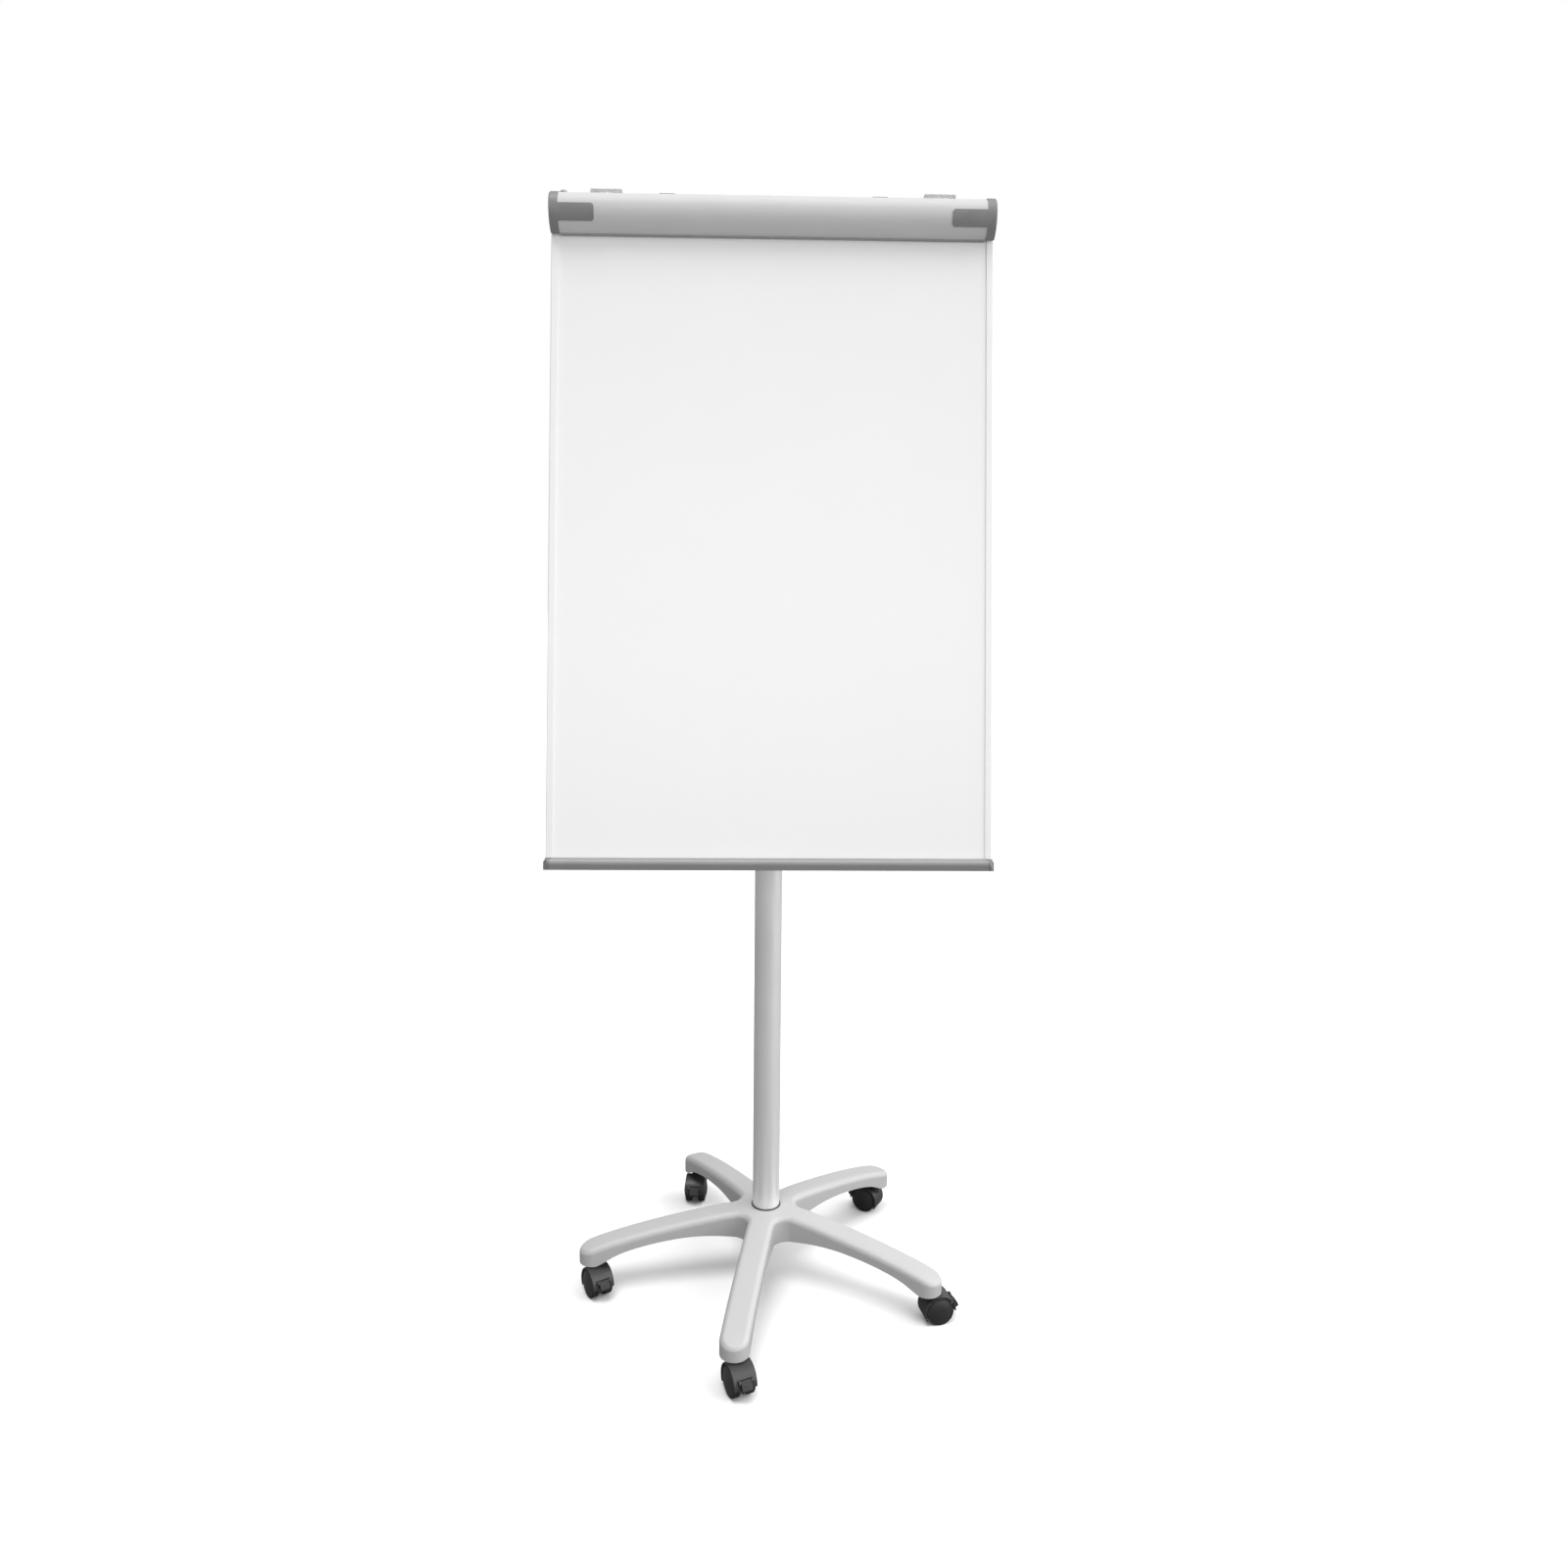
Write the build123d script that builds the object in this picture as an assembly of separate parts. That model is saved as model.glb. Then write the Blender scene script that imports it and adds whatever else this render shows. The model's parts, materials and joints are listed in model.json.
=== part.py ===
from build123d import *
import os
from math import atan2, cos, degrees, radians, sin

# Mobile flipchart easel: a magnetic writing board with a hinged paper clamp, carried by a
# telescopic column on a five-armed star base with braked twin-wheel castors.
# Millimetres. +Z is up and the board faces -Y. The origin is on the floor, under the column's
# axis. Each physical piece is one STEP file in parts/.

# ---------------------------------------------------------------- driving dimensions
RUN_GAP = 0.05                 # radial clearance of every turning or sliding round fit

# Star base
ARM_COUNT = 5
ARM_REACH = 290.0              # column axis to castor stem
FRONT_ARM = -99.6              # direction of the front arm, degrees from +X
TIP_R = 22.5                   # half width of an arm at its rounded tip
ROOT_HALF = 22.0               # half width of an arm at the hub
WEB_R = 20.0                   # fillet between neighbouring arms
CREST_R = 9.5                  # rounding along the top edges
SHELL = 3.5                    # wall of the hollow arms
RIB = 3.0                      # thickness of the ribs inside the arms
RIB_STATIONS = (80, 130, 180, 230)
ARM_FOOT = 51.0                # underside of the castor sockets
HUB_TOP = 124.6
HUB_FOOT = 69.0
HUB_R = 30.0
HUB_FLOOR = 5.0                # floor of the hub, under the column
SOCKET_R = 11.5
SOCKET_DEPTH = 22.0            # castor sockets, showing below the arched underside
# Crest and underside of an arm, as radius from the column axis and height
CREST = [(0, HUB_TOP), (60, 123.6), (130, 115), (195, 104), (245, 93.5), (280, 84.5), (320, 69)]
UNDERSIDE = [(288, ARM_FOOT), (274, 57), (262, 63.5), (226, 76), (184, 84), (139, 88.5), (93, 87),
             (47, 79.5), (20, HUB_FOOT)]

# Column, collar and mast
COLUMN_R = 22.5
COLUMN_WALL = 1.75
COLUMN_TOP = 866.0
PLUG_HEIGHT = 16.0
BOLT_R = 5.0                   # bolt that holds the column down in the hub
MAST_R = 19.0
MAST_WALL = 2.0
MAST_FOOT = 316.0
MAST_TOP = 1020.0
GLIDE_HEIGHT = 40.0            # sleeve at the mast's foot
BUSH_DEPTH = 45.0              # guide bush inside the column's mouth
BUSH_RIM = 6.0
COLLAR_R = 27.0
COLLAR_FOOT = 828.0
COLLAR_TOP = 878.0
KNOB_HEIGHT = 848.0            # height of the clamping screw's axis
KNOB_STANDOFF = 40.0           # column axis to the knob's neck
SCREW_HOLE_R = 4.6

# Tilt joint
BOARD_LEAN = 7.0               # degrees from the vertical
BOARD_FRONT = 95.0             # writing face at the tray, ahead of the column's axis
BOARD_FOOT = 727.5             # height of the tray's lower edge
PIVOT_UP = 330.0               # tilt axis, measured up the board
PIVOT_R = 4.0
LUG_HALF = 18.0
LUG_R = 14.0
EAR_INNER = LUG_HALF + 0.4
EAR_OUTER = EAR_INNER + 3.0
BRACKET_HALF = 80.0
BRACKET_RISE = 60.0
BRACKET_THICK = 2.6
SCREW_R = 2.5

# Board, in its own frame: x to the right, y backwards from the writing face, z up the board
# from the lower edge of the tray
BOARD_HALF = 350.0
SHEET = 0.6                    # steel writing sheet
CORE = 12.2
BACKING = 0.6
PANEL_FOOT = 14.0
PANEL_TOP = 1046.5
PANEL_HALF = 341.0
FRAME_LIP = 2.0                # overlap of the side frames on the panel
FRAME_WALL = 1.5
LIP_TOP = 17.0                 # upper edges of the tray's lips, where the side frames begin
RAIL_FOOT = 1034.5             # header rail
RAIL_TOP = 1062.5
TRAY_END = 9.0                 # solid end of a tray cap

# Paper clamp, in the board's frame
HINGE_Y = -9.5
HINGE_Z = 1055.5
BARREL_R = 3.0
PIN_R = 1.5
PIN_HALF = 30.0
HINGE_X = 168.0                # each hinge's middle, from the board's centre line
EAR_LENGTH = 26.0
BAR_WALL = 1.8
BAR_HALF = 336.0
BAR_DEPTH = 33.2               # widest line of the clamp's face, ahead of the writing face
BAR_MIDDLE = 1035.0            # and its place up the board
BAR_LIP = (-6.0, 997.5)        # lower edge of the clamp's face
BAR_BACK = 5.0                 # flat back of the clamp's section, ahead of the writing face
CAP_PROUD = 1.2                # how far the end caps stand outside the bar's face
CAP_PLUG = 10.5                # open part of an end cap, before its solid end
TONGUE_FOOT = 1009.5           # tongue of each end cap, lying on the bar's face
TONGUE_TOP = 1034.0
TONGUE_END = 280.0
HOOK_X = 264.0                 # each pad hook, from the board's centre line
PEG_R = 3.2
PEG_Z = 1035.5

# Castors, each in its own frame: origin under the stem, x in the trailing direction, y along
# the axle
TRAIL = 17.0                   # stem to axle
WHEEL_R = 22.5
WHEEL_IN = 6.4                 # inner face of a wheel, from the castor's middle plane
WHEEL_OUT = 17.6
TREAD_ROUND = 1.5
DOME = 4.0                     # how far the disc bulges beyond the rim
HOOD_R = 26.0
HOOD_WALL = 2.6
HOOD_HALF = 18.3
HOOD_SPAN = (0, 210)           # hood, in degrees round the axle
LEVER_SPAN = (-10, 32)         # opening in the hood for the brake lever
WEB_HALF = 6.0
STEM_R = 5.5
SWIVEL_R = 4.5
PIN_FOOT = 28.0                # lower end of the swivel pin
AXLE_R = 3.0
LEVER_HALF = 8.0
LEVER_REST = -56.0             # slope of the released lever, degrees
LEVER_PIN_R = 1.5
LEVER_RADIUS = 26.5            # lever pin, from the axle
LEVER_PLACE = 24               # and its place, degrees round the axle
CAM_R = 3.0
# Trailing direction of each castor, degrees from +X
CASTORS = {"front": -66.0, "right": 13.0, "rear_right": 151.0, "rear_left": -94.0, "left": -59.0}

# Worked out from the dimensions above
BORE_R = COLUMN_R - COLUMN_WALL
COLUMN_FOOT = HUB_FOOT + HUB_FLOOR
PANEL_BACK = SHEET + CORE + BACKING
PLATE_BACK = PANEL_BACK + BRACKET_THICK
PIVOT_Y = (BOARD_FRONT - PIVOT_UP * sin(radians(BOARD_LEAN))) / cos(radians(BOARD_LEAN))
PIVOT_Z = BOARD_FOOT - PIVOT_Y * sin(radians(BOARD_LEAN)) + PIVOT_UP * cos(radians(BOARD_LEAN))
BOARD = Pos(0, -BOARD_FRONT, BOARD_FOOT) * Rot(-BOARD_LEAN, 0, 0)
FAR = 1200.0                   # reaches past everything a cut has to clear
ON_BASE = (Align.CENTER, Align.CENTER, Align.MIN)

os.makedirs("parts", exist_ok=True)


# ---------------------------------------------------------------- helpers
def save(name, shape):
    export_step(shape, f"parts/{name}.step")


def block(x0, x1, y0, y1, z0, z1):
    """Box between two opposite corners."""
    return Pos(x0, y0, z0) * Box(x1 - x0, y1 - y0, z1 - z0, align=(Align.MIN,) * 3)


def rod(radius, low, high, x=0.0, y=0.0):
    """Upright cylinder from one height to another."""
    return Pos(x, y, low) * Cylinder(radius, high - low, align=ON_BASE)


def rod_x(radius, x0, x1, y, z):
    """Cylinder along x."""
    return Pos(x0, y, z) * Rot(0, 90, 0) * Cylinder(radius, x1 - x0, align=ON_BASE)


def rod_y(radius, y0, y1, x, z):
    """Cylinder along y."""
    return Pos(x, y0, z) * Rot(-90, 0, 0) * Cylinder(radius, y1 - y0, align=ON_BASE)


def polygon(*points):
    return make_face(Polyline(*points, close=True))


def along_x(face, x0, x1):
    """Extrude a face drawn as (y, z) along x, between two stations."""
    return extrude(Plane.YZ.offset(x0) * face, x1 - x0)


def across(face, half):
    """Extrude a face drawn as (x, z) to both sides of the xz plane."""
    return extrude(Plane.XZ * face, half, both=True)


def turned(outline):
    """Solid turned about z from a face drawn as (radius, height)."""
    return revolve(Plane.XZ * outline, Axis.Z, 360)


def star_knob(radius, thick, lobes=5):
    """Lobed hand knob, rising from z = 0, with a short neck under it."""
    neck = 4
    grip = Circle(radius * 0.78)
    for i in range(lobes):
        grip += Rot(0, 0, 360 / lobes * i) * Pos(radius * 0.66, 0) * Circle(radius * 0.34)
    body = Pos(0, 0, neck) * extrude(grip, thick - neck)
    body = fillet(body.edges().group_by(Axis.Z)[-1], 2.0)
    return body + rod(radius * 0.45, 0, neck + 1)


# ---------------------------------------------------------------- star base
def arm_angle(index):
    return FRONT_ARM + 360 / ARM_COUNT * index


def star_plan(inset=0.0):
    """Outline of the star seen from above, optionally drawn in by a wall thickness."""
    tip = TIP_R - inset
    root = ROOT_HALF - inset
    arm = polygon((0, -root), (ARM_REACH, -tip), (ARM_REACH, tip), (0, root))
    arm += Pos(ARM_REACH, 0) * Circle(tip)
    plan = Sketch()
    for i in range(ARM_COUNT):
        plan += Rot(0, 0, arm_angle(i)) * arm
    near, far = HUB_R * 0.7, HUB_R * 2.7
    inner = [v for v in plan.vertices() if near < Vector(v.X, v.Y, 0).length < far]
    return fillet(inner, WEB_R + inset)


def is_top_edge(edge):
    """True for the edges that run along the crest, not for the upright ones or the middle."""
    middle = edge.center()
    off_axis = Vector(middle.X, middle.Y, 0).length > 20
    return middle.Z > HUB_FOOT - 3 and off_axis and abs(edge.tangent_at(0.5).Z) < 0.7


def star_body(inset, foot):
    """Star under its arched crest, with the top edges rounded."""
    crest = Spline(*[(r, z - inset) for r, z in CREST], tangents=[(1, 0), (1, -0.5)])
    end_r, end_z = CREST[-1]
    walls = Polyline((end_r, end_z - inset), (end_r, foot), (0, foot), (0, HUB_TOP - inset))
    body = extrude(star_plan(inset), HUB_TOP * 1.5) & turned(make_face([crest, walls]))
    return fillet([e for e in body.edges() if is_top_edge(e)], CREST_R - inset)


def star_base():
    """Hollow star with ribs, castor sockets and the column's socket in the hub."""
    arch = Spline(*UNDERSIDE, tangents=[(-1, 0.3), (-1, -0.5)])
    first = UNDERSIDE[0]
    below = Polyline(UNDERSIDE[-1], (0, HUB_FOOT), (0, 0), (first[0], 0), first)
    outer = star_body(0.0, ARM_FOOT) - turned(make_face([arch, below]))
    for i in range(ARM_COUNT):
        outer += Rot(0, 0, arm_angle(i)) * rod(SOCKET_R, ARM_FOOT, ARM_FOOT + SOCKET_DEPTH, x=ARM_REACH)
    filled = rod(HUB_R, 0, HUB_TOP)
    bores = rod(COLUMN_R, COLUMN_FOOT, HUB_TOP + 1) + rod(BOLT_R + 1, 0, HUB_TOP)
    bores += rod(HUB_R - 1, HUB_TOP, HUB_TOP + 5)
    for i in range(ARM_COUNT):
        turn = Rot(0, 0, arm_angle(i))
        ribs = block(0, ARM_REACH, -RIB / 2, RIB / 2, 0, HUB_TOP)
        for r in RIB_STATIONS:
            ribs += block(r, r + RIB, -TIP_R, TIP_R, 0, HUB_TOP)
        filled += turn * (ribs + rod(SOCKET_R, 0, HUB_TOP, x=ARM_REACH))
        bores += turn * rod(STEM_R, 0, ARM_FOOT + SOCKET_DEPTH + 1, x=ARM_REACH)
    hollow = star_body(SHELL, ARM_FOOT - 20) - filled
    return outer - hollow - bores


save("star_base", star_base())

hub_ring = rod(COLUMN_R + 2.1, HUB_TOP, HUB_TOP + 1.6) - rod(COLUMN_R, 0, HUB_TOP + 5)
save("hub_ring", fillet(hub_ring.edges().group_by(Axis.Z)[-1], 0.7))

# ---------------------------------------------------------------- column
screw_hole = rod_y(SCREW_HOLE_R, 10, 30, 0, KNOB_HEIGHT)
column = rod(COLUMN_R, COLUMN_FOOT, COLUMN_TOP) - rod(BORE_R, 0, COLUMN_TOP + 1)
save("column_tube", column - screw_hole)

plug_top = COLUMN_FOOT + PLUG_HEIGHT
save("column_plug", rod(BORE_R, COLUMN_FOOT, plug_top) - rod(BOLT_R, 0, plug_top + 1))

WASHER = 2.5
BOLT_HEAD = 6.5
bolt = rod(BOLT_R, HUB_FOOT - WASHER, plug_top) + rod(10.5, HUB_FOOT - WASHER, HUB_FOOT)
bolt += Pos(0, 0, HUB_FOOT - WASHER - BOLT_HEAD) * extrude(RegularPolygon(8.5, 6), BOLT_HEAD)
save("column_bolt", bolt)

bush = rod(BORE_R, COLUMN_TOP - BUSH_DEPTH, COLUMN_TOP)
bush += rod(COLUMN_R, COLUMN_TOP, COLUMN_TOP + BUSH_RIM)
bush -= rod(MAST_R + RUN_GAP, 0, FAR) + screw_hole
save("guide_bush", bush)

collar = rod(COLLAR_R, COLLAR_FOOT, COLLAR_TOP)
collar = fillet(collar.edges().group_by(Axis.Z)[-1], 3.0)
collar = chamfer(collar.edges().group_by(Axis.Z)[0], 1.5)
collar += rod_y(9.5, 15, KNOB_STANDOFF - 2, 0, KNOB_HEIGHT)
collar -= rod(COLUMN_R, 0, COLUMN_TOP + BUSH_RIM) + rod(MAST_R + 1, 0, FAR)
collar -= rod_y(PIVOT_R + RUN_GAP, 10, 60, 0, KNOB_HEIGHT)
save("clamp_collar", collar)

height_knob = Pos(0, KNOB_STANDOFF, KNOB_HEIGHT) * Rot(-90, 0, 0) * star_knob(22, 20)
height_knob += rod_y(PIVOT_R, MAST_R + 0.12, KNOB_STANDOFF + 10, 0, KNOB_HEIGHT)
save("height_knob", height_knob)

# ---------------------------------------------------------------- mast and tilt joint
save("mast_tube", rod(MAST_R, MAST_FOOT, MAST_TOP) - rod(MAST_R - MAST_WALL, 0, FAR))
save("mast_glide", rod(BORE_R - RUN_GAP, MAST_FOOT, MAST_FOOT + GLIDE_HEIGHT) - rod(MAST_R, 0, FAR))

head = rod(MAST_R + 4, MAST_TOP - 18, MAST_TOP + 6)
head = fillet(head.edges().group_by(Axis.Z)[-1], 4.0)
head += block(-LUG_HALF, LUG_HALF, -LUG_R, LUG_R, MAST_TOP, PIVOT_Z)
head += rod_x(LUG_R, -LUG_HALF, LUG_HALF, 0, PIVOT_Z)
head -= rod(MAST_R, 0, MAST_TOP) + rod_x(PIVOT_R + RUN_GAP, -LUG_HALF, LUG_HALF, 0, PIVOT_Z)
save("tilt_head", head)

tilt_bolt = rod_x(PIVOT_R, -EAR_OUTER, EAR_OUTER + 20.6, 0, PIVOT_Z)
tilt_bolt += Pos(-EAR_OUTER - 5, 0, PIVOT_Z) * Rot(0, 90, 0) * extrude(RegularPolygon(7.5, 6), 5)
save("tilt_bolt", tilt_bolt)
tilt_knob = Pos(EAR_OUTER + 0.6, 0, PIVOT_Z) * Rot(0, 90, 0) * star_knob(20, 19)
save("tilt_knob", tilt_knob - rod_x(PIVOT_R + RUN_GAP, 0, FAR, 0, PIVOT_Z))

ear = polygon((PLATE_BACK, PIVOT_UP - 38), (PIVOT_Y + 2, PIVOT_UP - LUG_R + 0.5),
              (PIVOT_Y + 2, PIVOT_UP + LUG_R - 0.5), (PLATE_BACK, PIVOT_UP + 38))
ear += Pos(PIVOT_Y, PIVOT_UP) * Circle(LUG_R)
low, high = PIVOT_UP - BRACKET_RISE, PIVOT_UP + BRACKET_RISE
bracket = block(-BRACKET_HALF, BRACKET_HALF, PANEL_BACK, PLATE_BACK, low, high)
bracket = fillet(bracket.edges().filter_by(Axis.Y), 10)
bracket += along_x(ear, EAR_INNER, EAR_OUTER) + along_x(ear, -EAR_OUTER, -EAR_INNER)
bracket -= rod_x(PIVOT_R, -EAR_OUTER, EAR_OUTER, PIVOT_Y, PIVOT_UP)
screws = Part()
for x in (15 - BRACKET_HALF, BRACKET_HALF - 15):
    for z in (low + 15, high - 15):
        bracket -= rod_y(SCREW_R, 0, PLATE_BACK + 1, x, z)
        screws += rod_y(SCREW_R, SHEET + 2, PLATE_BACK, x, z)
        screws += rod_y(4.8, PLATE_BACK, PLATE_BACK + 2.4, x, z)
save("tilt_bracket", BOARD * bracket)
save("bracket_screws", BOARD * screws)


# ---------------------------------------------------------------- board
def panel(front, back):
    """One layer of the panel, between two depths."""
    return block(-PANEL_HALF, PANEL_HALF, front, back, PANEL_FOOT, PANEL_TOP)


save("writing_sheet", BOARD * panel(0, SHEET))
save("panel_core", BOARD * (panel(SHEET, SHEET + CORE) - screws))
save("backing_sheet", BOARD * (panel(SHEET + CORE, PANEL_BACK) - screws))

# Side frames: a hollow edge profile whose lips grip the panel
side = block(PANEL_HALF - FRAME_LIP, BOARD_HALF, -2, PANEL_BACK + 2, LIP_TOP, RAIL_FOOT)
side = fillet(side.edges().filter_by(Axis.Z).group_by(Axis.X)[-1], 2.0)
side -= block(0, PANEL_HALF, 0, PANEL_BACK, 0, FAR)
side -= block(PANEL_HALF + FRAME_WALL, BOARD_HALF - FRAME_WALL, 0, PANEL_BACK, 0, FAR)
save("side_frame_right", BOARD * side)
save("side_frame_left", BOARD * mirror(side, Plane.YZ))

# Tray: lower edge profile with a shallow pen channel in front of the writing face
TRAY_BACK = PANEL_BACK + 2
tray_outline = make_face([
    Polyline((TRAY_BACK, 0), (TRAY_BACK, LIP_TOP), (PANEL_BACK, LIP_TOP), (PANEL_BACK, PANEL_FOOT),
             (0, PANEL_FOOT), (0, LIP_TOP), (-1.8, LIP_TOP), (-2.6, 14.5)),
    ThreePointArc((-2.6, 14.5), (-9.5, 12.2), (-16.4, 14.5)),
    Polyline((-16.4, 14.5), (-18, 16.6), (-20.2, 16.6)),
    ThreePointArc((-20.2, 16.6), (-21.8, 13), (-21, 8)),
    Polyline((-21, 8), (-17, 0), (TRAY_BACK, 0)),
])
tray_bore = polygon((PANEL_BACK, 2), (PANEL_BACK, 12), (-1, 12), (-9.5, 10.2), (-18.6, 11.5),
                    (-18.6, 8.5), (-15.8, 2))
tray_section = tray_outline - tray_bore
save("tray", BOARD * along_x(tray_section, -PANEL_HALF, PANEL_HALF))
cap_end = BOARD_HALF + 1
cap = along_x(tray_section, PANEL_HALF, cap_end - TRAY_END)
cap += along_x(make_face(tray_outline.wires()[0]), cap_end - TRAY_END, cap_end)
corner = polygon((cap_end - 8, -23), (cap_end + 2, -23), (cap_end + 2, -13))
cap -= extrude(corner, LIP_TOP * 2)
save("tray_caps", BOARD * Compound([cap, mirror(cap, Plane.YZ)]))

# Header rail: holds the panel's top edge, the hook slot and the clamp's hinge ears
rail_front, rail_back = -3, PANEL_BACK + 3
rail_face = polygon((rail_front, RAIL_FOOT), (rail_front, RAIL_TOP), (rail_back, RAIL_TOP),
                    (rail_back, RAIL_FOOT))
rail_face -= polygon((0, 0), (0, PANEL_TOP), (PANEL_BACK, PANEL_TOP), (PANEL_BACK, 0))
rail_face -= polygon((4, FAR), (4, RAIL_TOP - 2.5), (1.5, RAIL_TOP - 2.5), (1.5, PANEL_TOP + 5),
                     (11.5, PANEL_TOP + 5), (11.5, RAIL_TOP - 2.5), (9, RAIL_TOP - 2.5), (9, FAR))
rail = along_x(rail_face, -BOARD_HALF, BOARD_HALF)
hinge_centre = Pos(HINGE_Y, HINGE_Z)
ear_face = hinge_centre * Circle(BARREL_R)
ear_face += polygon((HINGE_Y, HINGE_Z - BARREL_R), (rail_front + 0.1, HINGE_Z - 4.5),
                    (rail_front + 0.1, HINGE_Z + BARREL_R), (HINGE_Y, HINGE_Z + BARREL_R))
ear_face -= hinge_centre * Circle(PIN_R)
pins = Part()
for x in (-HINGE_X, HINGE_X):
    rail += along_x(ear_face, x - EAR_LENGTH / 2, x + EAR_LENGTH / 2)
    pins += rod_x(PIN_R, x - PIN_HALF, x + PIN_HALF, HINGE_Y, HINGE_Z)
save("header_rail", BOARD * rail)
save("hinge_pins", BOARD * pins)

bumper = rod(6, RAIL_TOP, RAIL_TOP + 5, x=19 - BOARD_HALF, y=-0.5)
save("stop_button", BOARD * fillet(bumper.edges().group_by(Axis.Z)[-1], 3.5))


# ---------------------------------------------------------------- paper clamp
def clamp_section(grow=0.0):
    """Section of the clamp as (y, z): two arcs that meet upright at the widest line, and a flat
    back. A positive grow puts the face outside the bar's, a negative one inside its wall."""
    face = []
    for y, z in ((HINGE_Y, HINGE_Z + BARREL_R), BAR_LIP):
        rise = z - BAR_MIDDLE
        centre = (y**2 + rise**2 - BAR_DEPTH**2) / (2 * (y + BAR_DEPTH))
        end = degrees(atan2(rise, y - centre)) % 360
        face.append(CenterArc((centre, BAR_MIDDLE), BAR_DEPTH + centre + grow, 180, end - 180))
    upper, lower = face
    back = Polyline(lower @ 1, (-BAR_BACK, (lower @ 1).Y), (-BAR_BACK, HINGE_Z), upper @ 1)
    return make_face([upper, lower, back])


full = clamp_section()
profile = full - clamp_section(-BAR_WALL)
lip_z, shoulder_z, over_z = BAR_LIP[1], HINGE_Z - 3, HINGE_Z + 17
profile -= polygon((-8.5, lip_z + 2.5), (-8.5, shoulder_z), (-6.4, shoulder_z), (-6.4, over_z),
                   (0, over_z), (0, lip_z + 2.5))
profile += hinge_centre * Circle(BARREL_R)
profile -= hinge_centre * Circle(PIN_R + RUN_GAP)
bar = along_x(profile, -BAR_HALF, BAR_HALF)
gap_half = EAR_LENGTH / 2 + 0.4
for x in (-HINGE_X, HINGE_X):
    bar -= block(x - gap_half, x + gap_half, HINGE_Y - 5, 0, HINGE_Z - 6, HINGE_Z + 6)
save("clamp_bar", BOARD * bar)

strip = polygon((-6, lip_z - 1.7), (-6, lip_z + 2.3), (-0.4, lip_z + 3.5), (-0.4, lip_z - 2.5))
strip -= profile
save("clamp_strip", BOARD * along_x(strip, 2 - BAR_HALF, BAR_HALF - 2))

cap_face = clamp_section(CAP_PROUD)
ring = cap_face - full
plug_end = BAR_HALF + CAP_PLUG
cap = along_x(ring, BAR_HALF, plug_end) + along_x(cap_face, plug_end, BOARD_HALF - 1.5)
cap += extrude(Plane.YZ.offset(BOARD_HALF - 1.5) * cap_face, 1.5, taper=40)
window = block(TONGUE_END, BAR_HALF, -60, -15, TONGUE_FOOT, TONGUE_TOP)
window = fillet(window.edges().filter_by(Axis.Y).group_by(Axis.X)[0], 5.0)
cap += along_x(ring, TONGUE_END, BAR_HALF) & window
save("clamp_caps", BOARD * Compound([cap, mirror(cap, Plane.YZ)]))


def paper_hook(x):
    """Slider in the header slot, with a peg under the clamp for the pad's hole."""
    foot = block(x - 22, x + 22, 2, 11, PANEL_TOP + 5.5, RAIL_TOP - 2.8)
    foot += block(x - 22, x + 22, 4.3, 8.7, RAIL_TOP - 3, RAIL_TOP + 1)
    top = block(x - 25, x + 25, -5.2, 12, RAIL_TOP + 0.4, RAIL_TOP + 7.5)
    top = chamfer(top.edges().group_by(Axis.Z)[-1], 1.5)
    plate = block(x - 10, x + 10, -5.2, -3.3, PEG_Z - 7, RAIL_TOP + 2)
    peg = rod_y(PEG_R, -20, -4, x, PEG_Z)
    return foot + top + plate + fillet(peg.edges().group_by(Axis.Y)[0], 1.5)


save("hook_left", BOARD * paper_hook(-HOOK_X))
save("hook_right", BOARD * paper_hook(HOOK_X))


# ---------------------------------------------------------------- castors
def polar(radius, angle):
    """Point round the axle, as (x, z) in the castor's frame."""
    return (TRAIL + radius * cos(radians(angle)), WHEEL_R + radius * sin(radians(angle)))


def sector(start, end, radius=60):
    """Pie slice round the axle, drawn as (x, z)."""
    arc = ThreePointArc(polar(radius, start), polar(radius, (start + end) / 2), polar(radius, end))
    return make_face([arc, Polyline(polar(radius, end), polar(0, 0), polar(radius, start))])


def castor_hood():
    """Curved cover on a middle web, with the swivel boss, axle boss and lever ears."""
    outside = Pos(TRAIL, WHEEL_R) * Circle(HOOD_R)
    inside = Pos(TRAIL, WHEEL_R) * Circle(HOOD_R - HOOD_WALL)
    well = across(inside, HOOD_HALF + 2)
    hood = across((outside & sector(*HOOD_SPAN)) - inside, HOOD_HALF)
    rims = [e for e in hood.edges() if abs(abs(e.center().Y) - HOOD_HALF) < 0.01 and e.length > 60]
    hood = fillet(rims, 1.0)
    hood += across((inside & sector(*HOOD_SPAN)) + Pos(TRAIL, WHEEL_R) * Circle(8), WEB_HALF)
    hood += rod(9.0, WHEEL_R + 14, ARM_FOOT - 2.3) - well
    pivot = polar(LEVER_RADIUS, LEVER_PLACE)
    for side in (-1, 1):
        ear = Pos(0, side * (LEVER_HALF + 2), 0) * across(Pos(*pivot) * Circle(3.8), 1.5)
        hood += ear - well
    lever_room = sector(*LEVER_SPAN) - Pos(TRAIL, WHEEL_R) * Circle(WHEEL_R - 1.5)
    hood -= across(lever_room, LEVER_HALF + 0.4)
    hood -= rod_y(LEVER_PIN_R + RUN_GAP, -LEVER_HALF - 4, LEVER_HALF + 4, *pivot)
    return hood - rod(SWIVEL_R + RUN_GAP, PIN_FOOT - 1, 70) - rod_y(AXLE_R, -20, 20, TRAIL, WHEEL_R)


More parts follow.
